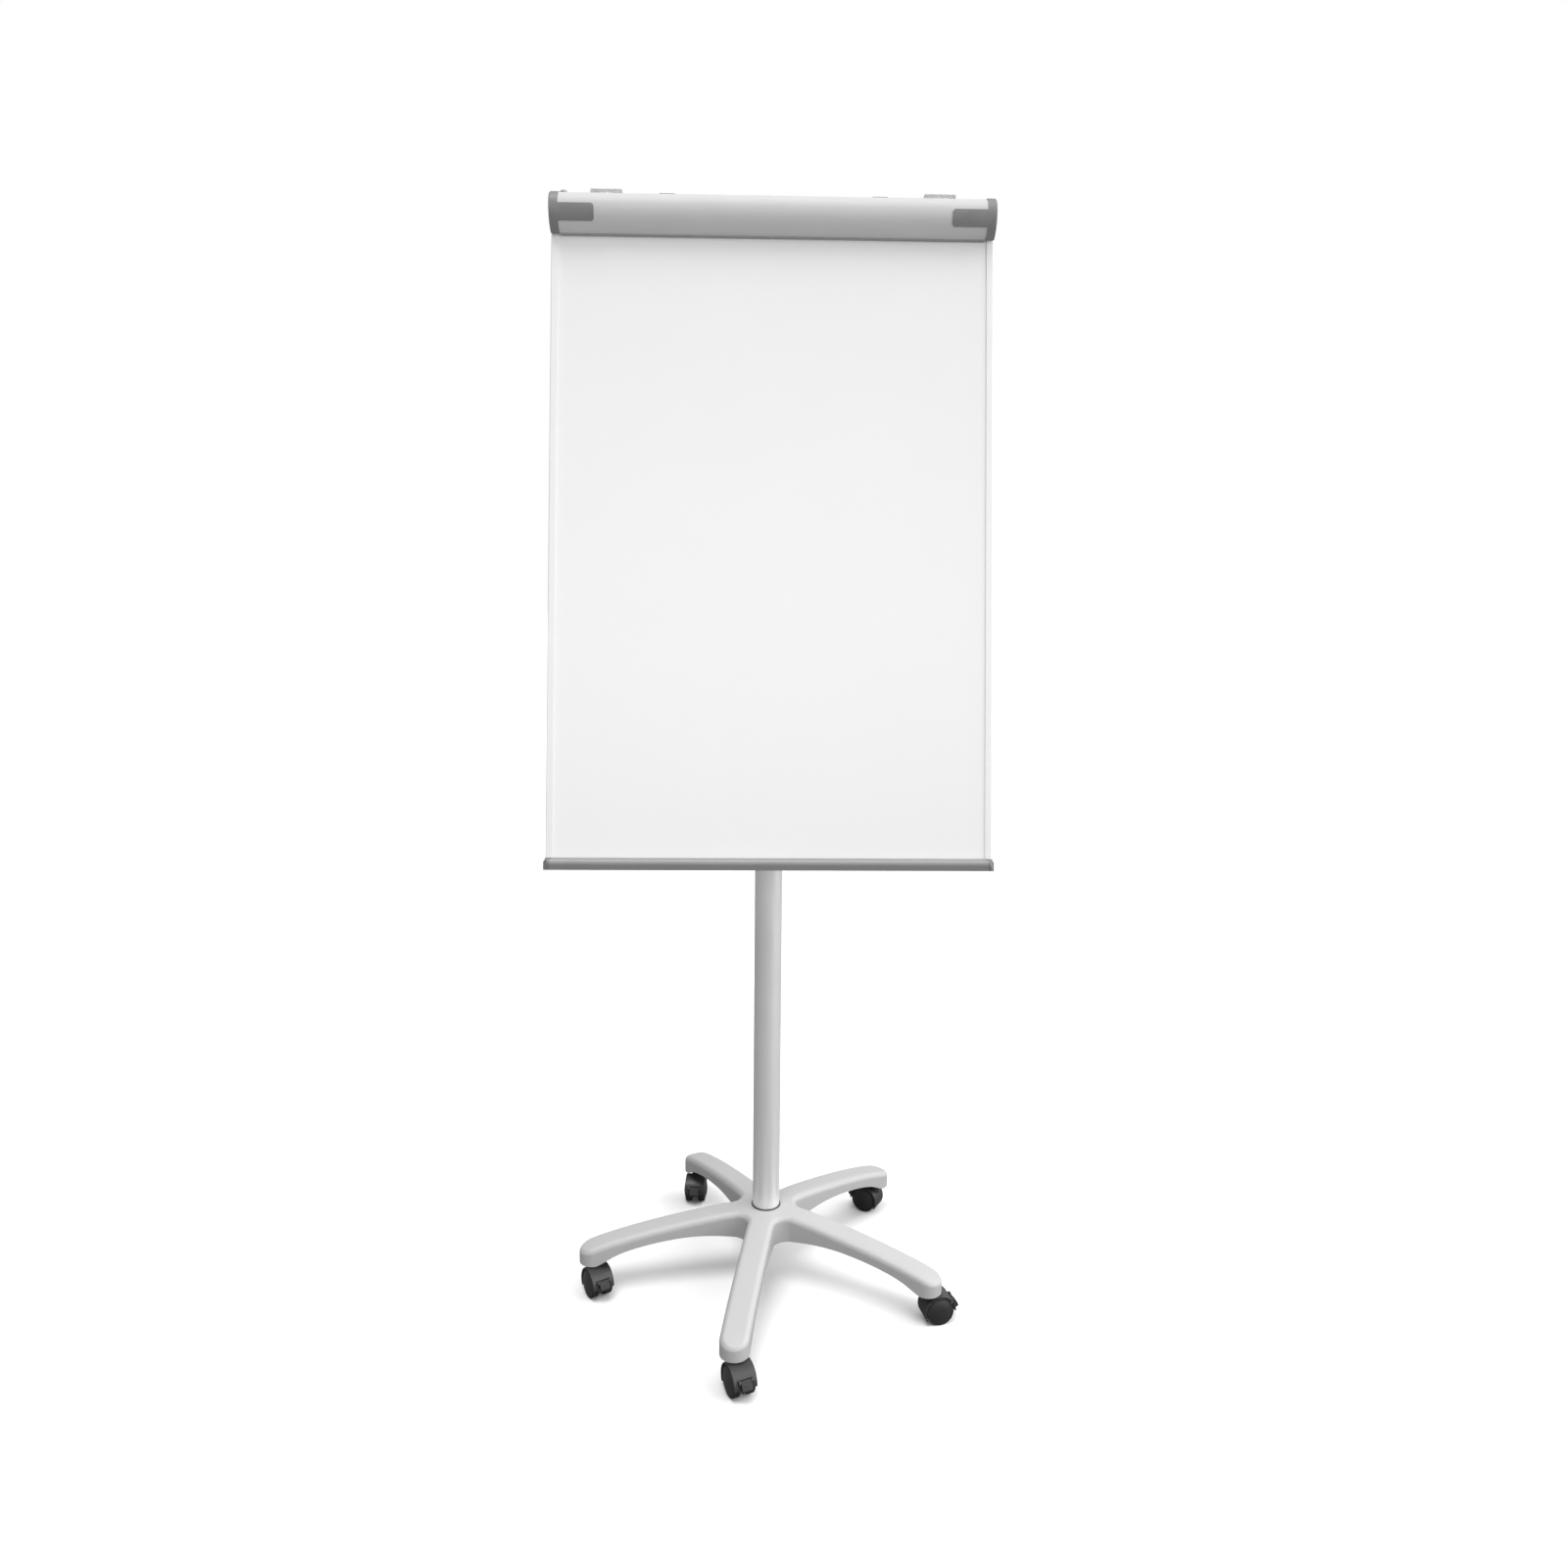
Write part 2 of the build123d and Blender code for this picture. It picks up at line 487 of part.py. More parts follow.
def castor_wheel():
    """One wheel of the pair: tread, hollow inner side and a domed disc outside."""
    rim = WHEEL_R - TREAD_ROUND
    dome_r = (rim**2 + DOME**2) / (2 * DOME)
    dome_angle = degrees(atan2(rim, dome_r - DOME))
    recess = WHEEL_IN + 6
    outline = make_face([
        Polyline((0, WHEEL_IN), (8, WHEEL_IN), (8, recess), (18, recess), (18, WHEEL_IN),
                 (WHEEL_R, WHEEL_IN), (WHEEL_R, WHEEL_OUT - TREAD_ROUND)),
        CenterArc((rim, WHEEL_OUT - TREAD_ROUND), TREAD_ROUND, 0, 90),
        CenterArc((0, WHEEL_OUT + DOME - dome_r), dome_r, 90 - dome_angle, dome_angle),
        Line((0, WHEEL_OUT + DOME), (0, WHEEL_IN)),
    ])
    wheel = revolve(outline, Axis.Y, 360) - rod_y(AXLE_R + RUN_GAP, 0, WHEEL_OUT - 0.6, 0, 0)
    return Pos(TRAIL, 0, WHEEL_R) * wheel


def castor_lever():
    """Brake lever with its toe, and the cam that bears on both treads."""
    x, z = polar(LEVER_RADIUS, LEVER_PLACE)
    arm = polygon((0, CAM_R), (11, 3.4), (13.5, 1), (12.5, -2.6), (6, -2.4), (0, -CAM_R))
    cam = Circle(CAM_R) + Pos(0.2, -2.45) * Circle(1.4)
    toe = Pos(10.8, 0.3) * Circle(3.2)
    lever = across(Pos(x, z) * Rot(0, 0, LEVER_REST) * (arm + cam + toe), LEVER_HALF)
    return lever + rod_y(LEVER_PIN_R, -LEVER_HALF - 3, LEVER_HALF + 3, x, z)


stem = rod(STEM_R, ARM_FOOT, ARM_FOOT + SOCKET_DEPTH) + rod(8.0, ARM_FOOT - 2, ARM_FOOT)
stem += rod(SWIVEL_R, PIN_FOOT, ARM_FOOT - 2)
wheel = castor_wheel()
castor = {
    "stem": chamfer(stem.edges().group_by(Axis.Z)[-1], 1.0),
    "hood": castor_hood(),
    "axle": rod_y(AXLE_R, -WHEEL_OUT + 0.8, WHEEL_OUT - 0.8, TRAIL, WHEEL_R),
    "wheel_a": wheel,
    "wheel_b": mirror(wheel, Plane.XZ),
    "lever": castor_lever(),
}
for i, (name, heading) in enumerate(CASTORS.items()):
    x = ARM_REACH * cos(radians(arm_angle(i)))
    y = ARM_REACH * sin(radians(arm_angle(i)))
    for piece, shape in castor.items():
        save(f"castor_{name}_{piece}", Pos(x, y, 0) * Rot(0, 0, heading) * shape)
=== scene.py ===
import json
from math import atan2, cos, pi, radians, sin, sqrt
import bmesh
import bpy
from mathutils import Matrix, Vector


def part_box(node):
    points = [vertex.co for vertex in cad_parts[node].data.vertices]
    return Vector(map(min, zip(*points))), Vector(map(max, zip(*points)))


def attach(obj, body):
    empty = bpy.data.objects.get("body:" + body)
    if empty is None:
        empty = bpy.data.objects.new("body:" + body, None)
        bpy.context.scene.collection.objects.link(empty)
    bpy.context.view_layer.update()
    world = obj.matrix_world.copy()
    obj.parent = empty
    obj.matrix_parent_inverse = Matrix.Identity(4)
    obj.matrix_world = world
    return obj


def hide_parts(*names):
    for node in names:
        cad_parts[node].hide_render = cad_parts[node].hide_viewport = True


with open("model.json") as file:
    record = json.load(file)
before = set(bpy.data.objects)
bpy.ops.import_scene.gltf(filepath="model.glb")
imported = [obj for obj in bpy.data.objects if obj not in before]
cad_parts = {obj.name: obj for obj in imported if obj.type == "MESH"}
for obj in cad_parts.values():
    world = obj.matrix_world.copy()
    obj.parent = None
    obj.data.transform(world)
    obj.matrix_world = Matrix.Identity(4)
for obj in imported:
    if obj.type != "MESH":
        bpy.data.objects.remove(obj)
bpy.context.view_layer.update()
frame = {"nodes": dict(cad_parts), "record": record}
record = frame["record"]
nodes = frame["nodes"]
scene = bpy.context.scene
MM = 0.001

body_of = {node: body for body, names in record["behaviour"]["bodies"].items() for node in names}
slot_of = {s["node"]: s["material_slot"] for s in record["subparts"]}
joint = {j["name"]: j for j in record["behaviour"]["joints"]}
CASTORS = ("front", "right", "rear_right", "rear_left", "left")

# ---------------------------------------------------------------- the board's own frame
# x to the right, y backwards from the writing face, z up the board from its lower edge
face_mount = next(m for m in record["mounts"] if m["name"] == "writing_face")
face_out = Vector(face_mount["axis"])
LEAN = atan2(face_out.z, -face_out.y)
FACE_HEIGHT = 0.5                      # the mount's height up the board
board_up = Vector((0, sin(LEAN), cos(LEAN)))
board_foot = Vector(face_mount["pos_m"]) - FACE_HEIGHT * board_up
BOARD = Matrix.Translation(board_foot) @ Matrix.Rotation(-LEAN, 4, "X")


# ---------------------------------------------------------------- materials
def new_material(name):
    """A new material with its node tree and its Principled shader."""
    mat = bpy.data.materials.new(name)
    mat.use_nodes = True
    tree = mat.node_tree
    return mat, tree, tree.nodes["Principled BSDF"]


def placed(tree, stretch=(1, 1, 1)):
    """The object's own coordinates, squeezed along an axis where wanted."""
    place = tree.nodes.new("ShaderNodeTexCoord")
    mapping = tree.nodes.new("ShaderNodeMapping")
    mapping.inputs["Scale"].default_value = stretch
    tree.links.new(place.outputs["Object"], mapping.inputs["Vector"])
    return mapping.outputs["Vector"]


def noise(tree, scale, stretch=(1, 1, 1), detail=3.0, rough=0.55):
    tex = tree.nodes.new("ShaderNodeTexNoise")
    tex.inputs["Scale"].default_value = scale
    tex.inputs["Detail"].default_value = detail
    tex.inputs["Roughness"].default_value = rough
    tree.links.new(placed(tree, stretch), tex.inputs["Vector"])
    return tex.outputs["Fac"]


def cells(tree, scale):
    """One random value for each cell of a crystal pattern."""
    tex = tree.nodes.new("ShaderNodeTexVoronoi")
    tex.inputs["Scale"].default_value = scale
    tree.links.new(placed(tree), tex.inputs["Vector"])
    split = tree.nodes.new("ShaderNodeSeparateColor")
    tree.links.new(tex.outputs["Color"], split.inputs["Color"])
    return split.outputs["Red"]


def ranged(tree, value, low, high, start=0.3, end=0.7):
    """Spread a 0 to 1 value between two results."""
    node = tree.nodes.new("ShaderNodeMapRange")
    node.inputs["From Min"].default_value = start
    node.inputs["From Max"].default_value = end
    node.inputs["To Min"].default_value = low
    node.inputs["To Max"].default_value = high
    tree.links.new(value, node.inputs["Value"])
    return node.outputs["Result"]


def tinted(tree, value, dark, light):
    """Mix two colours by a value."""
    node = tree.nodes.new("ShaderNodeMix")
    node.data_type = "RGBA"
    node.inputs["A"].default_value = (*dark, 1)
    node.inputs["B"].default_value = (*light, 1)
    tree.links.new(value, node.inputs["Factor"])
    return node.outputs["Result"]


def bumped(tree, shader, *heights):
    """Stack bumps on a shader, each a (value, strength, depth in metres)."""
    normal = None
    for value, strength, depth in heights:
        bump = tree.nodes.new("ShaderNodeBump")
        bump.inputs["Strength"].default_value = strength
        bump.inputs["Distance"].default_value = depth
        tree.links.new(value, bump.inputs["Height"])
        if normal is not None:
            tree.links.new(normal, bump.inputs["Normal"])
        normal = bump.outputs["Normal"]
    tree.links.new(normal, shader.inputs["Normal"])


def grey(level, warmth=0.0):
    return (level + warmth, level, level - warmth)


def drawn_metal(name, level, stretch, metallic, rough):
    """Extruded and anodised metal, with fine lines along its length and faint bath clouds."""
    mat, tree, shader = new_material(name)
    lines = noise(tree, 900, stretch, detail=4.0)
    clouds = noise(tree, 14, detail=3.0)
    shader.inputs["Metallic"].default_value = metallic
    colour = tinted(tree, clouds, grey(level - 0.025), grey(level + 0.015))
    tree.links.new(colour, shader.inputs["Base Color"])
    tree.links.new(ranged(tree, lines, rough - 0.06, rough + 0.08), shader.inputs["Roughness"])
    bumped(tree, shader, (lines, 0.12, 0.04 * MM))
    return mat


def lacquer(name, level, rough, peel_depth=0.08, coat=0.15, cloud=0.03):
    """Sprayed and stoved coat with orange peel, and haze where hands and cloths have been. The
    cloud is how far that haze changes the colour, and it changes the gloss with it."""
    mat, tree, shader = new_material(name)
    peel = noise(tree, 420, detail=2.0)
    haze = noise(tree, 9, detail=3.0)
    specks = noise(tree, 1500, detail=1.0)
    colour = tinted(tree, haze, grey(level - 0.6 * cloud), grey(level + 0.4 * cloud))
    tree.links.new(colour, shader.inputs["Base Color"])
    gloss = ranged(tree, haze, rough - 1.3 * cloud, rough + 2.7 * cloud, 0.0, 1.0)
    tree.links.new(gloss, shader.inputs["Roughness"])
    shader.inputs["Coat Weight"].default_value = coat
    shader.inputs["Coat Roughness"].default_value = 0.2
    bumped(tree, shader, (peel, 0.16, peel_depth * MM), (specks, 0.05, 0.02 * MM))
    return mat


def moulded(name, level, rough, grain=2600, depth=0.06):
    """Injection-moulded plastic with a spark-eroded grain and dull, handled patches."""
    mat, tree, shader = new_material(name)
    spark = noise(tree, grain, detail=2.0)
    wear = noise(tree, 60, detail=4.0)
    tree.links.new(tinted(tree, wear, grey(level * 0.85), grey(level * 1.15)), shader.inputs["Base Color"])
    tree.links.new(ranged(tree, wear, rough - 0.06, rough + 0.08), shader.inputs["Roughness"])
    bumped(tree, shader, (spark, 0.35, depth * MM), (wear, 0.1, 0.1 * MM))
    return mat


def spangled(name, level):
    """Hot-dip galvanised sheet with its crystal spangle."""
    mat, tree, shader = new_material(name)
    crystals = cells(tree, 120)
    grain = noise(tree, 500, detail=3.0)
    shader.inputs["Metallic"].default_value = 0.9
    colour = tinted(tree, crystals, grey(level * 0.93), grey(level * 1.03))
    tree.links.new(colour, shader.inputs["Base Color"])
    tree.links.new(ranged(tree, crystals, 0.42, 0.5, 0, 1), shader.inputs["Roughness"])
    bumped(tree, shader, (grain, 0.1, 0.05 * MM))
    return mat


def clear_plastic(name):
    """Milky transparent moulding."""
    mat, tree, shader = new_material(name)
    flow = noise(tree, 120, detail=3.0)
    tree.links.new(tinted(tree, flow, grey(0.72), grey(0.84)), shader.inputs["Base Color"])
    tree.links.new(ranged(tree, flow, 0.22, 0.34), shader.inputs["Roughness"])
    shader.inputs["Transmission Weight"].default_value = 0.55
    shader.inputs["IOR"].default_value = 1.49
    bumped(tree, shader, (flow, 0.1, 0.1 * MM))
    return mat


def board_pulp(name):
    """Brown paper honeycomb, seen only at the holes."""
    mat, tree, shader = new_material(name)
    fibre = noise(tree, 800, (0.3, 1, 1), detail=5.0)
    tree.links.new(tinted(tree, fibre, (0.40, 0.30, 0.20), (0.56, 0.44, 0.31)), shader.inputs["Base Color"])
    shader.inputs["Roughness"].default_value = 0.9
    bumped(tree, shader, (fibre, 0.4, 0.1 * MM))
    return mat


ALONG, UP = (0.02, 1, 1), (1, 1, 0.02)
look = {
    "base_paint": lacquer("base_paint", 0.46, 0.50, coat=0.05),
    "anodised": drawn_metal("anodised", 0.86, UP, 0.60, 0.42),
    "enamel": lacquer("enamel", 0.76, 0.33, peel_depth=0.01, coat=0.0, cloud=0.012),
    "honeycomb": board_pulp("honeycomb"),
    "zinc_sheet": spangled("zinc_sheet", 0.62),
    "bracket_paint": lacquer("bracket_paint", 0.30, 0.45),
    "steel": drawn_metal("steel", 0.55, (1, 1, 1), 1.0, 0.30),
    "grey_plastic": moulded("grey_plastic", 0.20, 0.50),
    "black_plastic": moulded("black_plastic", 0.032, 0.42),
    "hood_plastic": moulded("hood_plastic", 0.034, 0.40),
    "wheel_plastic": moulded("wheel_plastic", 0.026, 0.45),
    "clear_plastic": clear_plastic("clear_plastic"),
    "strip_rubber": moulded("strip_rubber", 0.30, 0.75, grain=900),
    "bumper_rubber": moulded("bumper_rubber", 0.40, 0.60, grain=900),
}
clamp_finish = drawn_metal("clamp_finish", 0.57, ALONG, 0.20, 0.75)
tray_finish = drawn_metal("tray_finish", 0.31, ALONG, 0.30, 0.55)
frame_finish = drawn_metal("frame_finish", 0.77, UP, 0.1, 0.5)
mast_finish = drawn_metal("mast_finish", 0.60, UP, 0.9, 0.26)
tread_finish = moulded("tread_finish", 0.02, 0.65, grain=1400, depth=0.1)
disc_finish = moulded("disc_finish", 0.024, 0.34, grain=3200, depth=0.04)
cap_finish = moulded("cap_finish", 0.20, 0.38)
lever_finish = moulded("lever_finish", 0.016, 0.55)
own_finish = {
    "clamp_bar": clamp_finish, "header_rail": clamp_finish, "tray": tray_finish,
    "side_frame_left": frame_finish, "side_frame_right": frame_finish, "mast_tube": mast_finish,
} | {f"castor_{castor}_lever": lever_finish for castor in CASTORS}


# ---------------------------------------------------------------- making pieces
def finished(name, bm, body, mats, node=None, sharp=32):
    """Turn a bmesh into a smooth-shaded piece that rides on a body and stands for a node."""
    mesh = bpy.data.meshes.new(name)
    bm.to_mesh(mesh)
    bm.free()
    for mat in mats:
        mesh.materials.append(mat)
    mesh.shade_smooth()
    mesh.set_sharp_from_angle(angle=radians(sharp))
    piece = bpy.data.objects.new(name, mesh)
    scene.collection.objects.link(piece)
    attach(piece, body)
    if node:
        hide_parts(node)
    return piece


def softened(node, width, segments=2, hard=28, sharp=32, only=None):
    """The CAD part with its hard edges rounded, as a moulding or a deburred extrusion has them."""
    bm = bmesh.new()
    bm.from_mesh(nodes[node].data)
    bmesh.ops.remove_doubles(bm, verts=bm.verts, dist=0.002 * MM)
    bmesh.ops.dissolve_limit(bm, angle_limit=radians(0.4), verts=bm.verts, edges=bm.edges)
    hard_edges = [e for e in bm.edges if len(e.link_faces) == 2 and e.calc_face_angle() > radians(hard)]
    if only:
        hard_edges = [e for e in hard_edges if only(e)]
    bmesh.ops.bevel(bm, geom=hard_edges, offset=width * MM, segments=segments, profile=0.5,
                    affect="EDGES", clamp_overlap=True)
    for face in bm.faces:
        face.material_index = 0
    slot = slot_of[node]
    piece = finished(f"{node}_form", bm, body_of[node], [own_finish.get(node, look[slot])], node, sharp)
    firm = piece.modifiers.new("weighted", "WEIGHTED_NORMAL")
    firm.keep_sharp = True
    return piece


def facing(origin, axis):
    """Placement whose z axis points along a direction."""
    return Matrix.Translation(Vector(origin)) @ Vector(axis).to_track_quat("Z", "Y").to_matrix().to_4x4()


def lathe(outline, place, steps=48):
    """Turned solid from (radius, height) points in mm. A third item, "hex", makes that ring a
    hexagon of the radius across its corners."""
    bm = bmesh.new()
    rings = []
    for radius, height, *shape in outline:
        if radius == 0:
            rings.append([bm.verts.new(place @ Vector((0, 0, height * MM)))])
            continue
        ring = []
        for i in range(steps):
            turn = 2 * pi * i / steps
            r = radius * MM
            if shape:
                r *= cos(pi / 6) / cos(turn % (pi / 3) - pi / 6)
            ring.append(bm.verts.new(place @ Vector((r * cos(turn), r * sin(turn), height * MM))))
        rings.append(ring)
    for a, b in zip(rings, rings[1:]):
        for i in range(steps):
            j = (i + 1) % steps
            if len(a) == 1:
                bm.faces.new((a[0], b[j], b[i]))
            elif len(b) == 1:
                bm.faces.new((a[i], a[j], b[0]))
            else:
                bm.faces.new((a[i], a[j], b[j], b[i]))
    bmesh.ops.recalc_face_normals(bm, faces=bm.faces)
    return bm


def bar_block(bm, place, low, high, round_off):
    """Add a box with rounded edges to a mesh, between two corners in mm from the place."""
    made = bmesh.ops.create_cube(bm, size=1.0)
    size = [(b - a) * MM for a, b in zip(low, high)]
    middle = [(a + b) / 2 * MM for a, b in zip(low, high)]
    verts = made["verts"]
    to_box = place @ Matrix.Translation(middle) @ Matrix.Diagonal((*size, 1))
    bmesh.ops.transform(bm, verts=verts, matrix=to_box)
    edges = list({e for v in verts for e in v.link_edges})
    bmesh.ops.bevel(bm, geom=edges, offset=round_off * MM, segments=3, profile=0.5, affect="EDGES")


def island_boxes(node):
    """Box of every separate solid in a node, as (low, high) in the board's frame, from left to
    right and then upwards."""
    to_board = BOARD.inverted()
    bm = bmesh.new()
    bm.from_mesh(nodes[node].data)
    bmesh.ops.remove_doubles(bm, verts=bm.verts, dist=0.002 * MM)
    left = set(bm.verts)
    boxes = []
    while left:
        grown, edge = set(), [left.pop()]
        while edge:
            vert = edge.pop()
            grown.add(vert)
            for link in vert.link_edges:
                other = link.other_vert(vert)
                if other in left:
                    left.discard(other)
                    edge.append(other)
        points = [to_board @ v.co for v in grown]
        boxes.append((Vector([min(p[k] for p in points) for k in range(3)]),
                      Vector([max(p[k] for p in points) for k in range(3)])))
    bm.free()
    return sorted(boxes, key=lambda b: (round(b[0].x, 4), round(b[0].z, 4)))


def arc_points(cx, cy, radius, start, end, count):
    """Points on an arc, as (x, y), between two angles in degrees."""
    turns = [radians(start + (end - start) * i / (count - 1)) for i in range(count)]
    return [(cx + radius * cos(t), cy + radius * sin(t)) for t in turns]


# ---------------------------------------------------------------- rounded CAD parts
ROUNDED = {
    "hub_ring": 0.25, "clamp_collar": 0.6, "guide_bush": 0.4, "height_knob": 0.5, "tilt_knob": 0.5,
    "tilt_head": 0.6, "tilt_bracket": 0.5, "tray": 0.35, "tray_caps": 0.6, "header_rail": 0.35,
    "clamp_bar": 0.3, "clamp_caps": 0.45, "hook_left": 0.45, "hook_right": 0.45, "stop_button": 0.4,
    "side_frame_left": 0.35, "side_frame_right": 0.35, "column_tube": 0.4, "mast_tube": 0.3,
}
for name, width in ROUNDED.items():
    softened(name, width)


ARM_REACH = 0.290                      # column axis to castor stem, in metres
ARM_TIP_FROM = 0.255                   # where an arm's tip begins


def outer_foot_edge(edge):
    """True for the lower outer edge of an arm's tip, not for the hollow's edge inside it."""
    middle = (edge.verts[0].co + edge.verts[1].co) / 2
    flat = Vector((middle.x, middle.y, 0))
    if flat.length < ARM_TIP_FROM:
        return False
    arm = min(arm_directions, key=lambda d: (flat.normalized() - d).length)
    beside = flat - arm * min(flat.dot(arm), ARM_REACH)
    down = any(f.normal.z < -0.6 for f in edge.link_faces)
    return down and any(abs(f.normal.z) < 0.5 and f.normal.dot(beside) > 0 for f in edge.link_faces)


stems = [Vector(joint[f"castor_{c}_swivel"]["pos_m"]) for c in CASTORS]
arm_directions = [Vector((s.x, s.y, 0)).normalized() for s in stems]
softened("star_base", 2.4, segments=4, only=outer_foot_edge)
for castor in CASTORS:
    softened(f"castor_{castor}_hood", 0.45)
    softened(f"castor_{castor}_lever", 0.5)
    softened(f"castor_{castor}_stem", 0.4)

for name, obj in nodes.items():
    obj.data.materials.clear()
    obj.data.materials.append(own_finish.get(name, look[slot_of[name]]))


# ---------------------------------------------------------------- castor wheels
# All in mm, with distances measured from the castor's middle plane
WHEEL_RIM = 22.5
WHEEL_IN = 6.4
WHEEL_OUT = 17.6
RECESS_FLOOR = WHEEL_IN + 5.6          # of the hollow in a wheel's inner face
WHEEL_DOME = 4.0                       # how far the disc bulges beyond the outer face
TREAD_FROM = 20.6                      # radius where the disc ends and the tread begins


def wheel_outline():
    """Half section of a wheel, as (radius, distance), from the hub's inner edge to the dome's middle."""
    inner, outer, rim = WHEEL_IN, WHEEL_OUT, WHEEL_RIM
    hollow = [(8, inner), (8, RECESS_FLOOR), (18, RECESS_FLOOR), (18, inner)]
    tread = [(rim - 0.8, inner), (rim - 0.2, inner + 0.3), (rim, inner + 1), (rim, 11.4), (rim - 0.5, 11.7),
             (rim - 0.5, 12.2), (rim, 12.5)]
    shoulder = arc_points(rim - 1.8, outer - 1.8, 1.8, 0, 78, 6)
    groove = [(20.2, outer), (19.9, outer - 0.5), (19.4, outer - 0.5), (19.1, outer)]
    dome_r = (19.1**2 + WHEEL_DOME**2) / (2 * WHEEL_DOME)
    dome = [(r, outer + WHEEL_DOME - dome_r + sqrt(dome_r**2 - r**2)) for r in (18.4, 17, 14.5, 11.5, 8, 4)]
    return hollow + tread + shoulder + groove + dome + [(0, outer + WHEEL_DOME)]


def wheel(name, side):
    """Twin wheel of a castor, with a disc and a tread in two finishes."""
    roll = joint[f"{name}_roll_{side}"]
    out = Vector(roll["axis"]) * (1 if side == "a" else -1)
    bm = lathe([(0, RECESS_FLOOR)] + wheel_outline()[1:], facing(roll["pos_m"], out), steps=72)
    centre = Vector(roll["pos_m"])
    for face in bm.faces:
        away = face.calc_center_median() - centre
        along = away.dot(out)
        face.material_index = int((away - along * out).length > TREAD_FROM * MM)
    node = f"{name}_wheel_{side}"
    finished(f"{node}_form", bm, node, [disc_finish, tread_finish], node)


for castor in CASTORS:
    for side in "ab":
        wheel(f"castor_{castor}", side)


# ---------------------------------------------------------------- knobs, screws and small parts
def knob_cap(name, joint_name, out, reach):
    """Pressed-in disc that covers the screw in the middle of a hand knob."""
    pos = Vector(joint[joint_name]["pos_m"])
    low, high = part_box(name)
    axis = Vector(out)
    face = max(Vector(low).dot(axis), Vector(high).dot(axis))
    origin = pos + axis * (face - pos.dot(axis))
    rim = [(0, -1.0), (reach, -1.0), (reach, 0.2), (reach - 0.5, 0.7)]
    groove = [(reach - 2.2, 0.7), (reach - 2.6, 0.3), (reach - 3.4, 0.3), (reach - 3.8, 0.7)]
    disc = rim + groove + [(0, 0.9)]
    finished(f"{name}_cap", lathe(disc, facing(origin, axis)), name, [cap_finish])


knob_cap("height_knob", "height_knob_turn", (0, 1, 0), 9.0)
knob_cap("tilt_knob", "tilt_knob_turn", (1, 0, 0), 8.0)

HEX_SCREW = [(0, -1.2), (4.6, -1.2), (4.8, -0.6), (4.8, 0.6), (4.5, 1.4), (3.8, 2.0), (2.9, 2.3),
             (2.3, 2.3, "hex"), (2.2, 0.4, "hex"), (0, 0.2)]
board_back = (BOARD.to_3x3() @ Vector((0, 1, 0))).normalized()
SCREW_HEAD = 2.4 * MM
for i, (low, high) in enumerate(island_boxes("bracket_screws")):
    under_head = Vector(((low.x + high.x) / 2, high.y - SCREW_HEAD, (low.z + high.z) / 2))
    bm = lathe(HEX_SCREW, facing(BOARD @ under_head, board_back))
    finished(f"bracket_screw_{i + 1}", bm, "board", [look["steel"]], "bracket_screws")

# Hinge blocks: dark plastic bearings over the clamp's two hinge ears, in mm from the hinge's axis
HINGE_BLOCK_HALF = 12.6
HINGE_BLOCK_FRONT, HINGE_BLOCK_BACK = -3.3, 6.0
HINGE_BLOCK_FOOT, HINGE_BLOCK_TOP = -3.2, 5.0
hinge_pos = Vector(joint["clamp_open"]["pos_m"])
in_board = BOARD.inverted() @ hinge_pos
for side, (low, high) in zip(("left", "right"), island_boxes("hinge_pins")):
    middle = (low.x + high.x) / 2 / MM
    place = BOARD @ Matrix.Translation((0, in_board.y, in_board.z))
    bm = bmesh.new()
    low_corner = (middle - HINGE_BLOCK_HALF, HINGE_BLOCK_FRONT, HINGE_BLOCK_FOOT)
    high_corner = (middle + HINGE_BLOCK_HALF, HINGE_BLOCK_BACK, HINGE_BLOCK_TOP)
    bar_block(bm, place, low_corner, high_corner, 1.2)
    finished(f"hinge_block_{side}", bm, "board", [look["black_plastic"]])

# Grip ribs on the brake levers, in mm from the lever's pin
LEVER_SLOPE = -56                      # degrees, released
RIBS = 3
FIRST_RIB, RIB_PITCH = 6.4, 2.1
RIB_ACROSS, RIB_ALONG = 6.4, 0.45      # half sizes
RIB_FOOT, RIB_TOP = 2.4, 3.9
for castor in CASTORS:
    brake = joint[f"castor_{castor}_brake"]
    pivot, axle = Vector(brake["pos_m"]), Vector(brake["axis"])
    roll_pos = Vector(joint[f"castor_{castor}_roll_a"]["pos_m"])
    outward = Vector((pivot.x - roll_pos.x, pivot.y - roll_pos.y, 0)).normalized()
    slope = radians(LEVER_SLOPE)
    along = outward * cos(slope) + Vector((0, 0, sin(slope)))
    above = along.cross(axle).normalized()
    above = above if above.z > 0 else -above
    place = Matrix.Translation(pivot) @ Matrix((axle, along, above)).transposed().to_4x4()
    bm = bmesh.new()
    for k in range(RIBS):
        mid = FIRST_RIB + RIB_PITCH * k
        low_corner = (-RIB_ACROSS, mid - RIB_ALONG, RIB_FOOT)
        high_corner = (RIB_ACROSS, mid + RIB_ALONG, RIB_TOP)
        bar_block(bm, place, low_corner, high_corner, 0.35)
    finished(f"castor_{castor}_grip", bm, f"castor_{castor}_lever", [look["black_plastic"]])


# ---------------------------------------------------------------- stage, light and camera
def seen_or_bounced(tree, seen, bounced):
    """Mix two shaders: one for what the camera sees directly, one for the light that it sends on."""
    path = tree.nodes.new("ShaderNodeLightPath")
    mix = tree.nodes.new("ShaderNodeMixShader")
    tree.links.new(path.outputs["Is Camera Ray"], mix.inputs["Fac"])
    tree.links.new(bounced.outputs[0], mix.inputs[1])
    tree.links.new(seen.outputs[0], mix.inputs[2])
    return mix


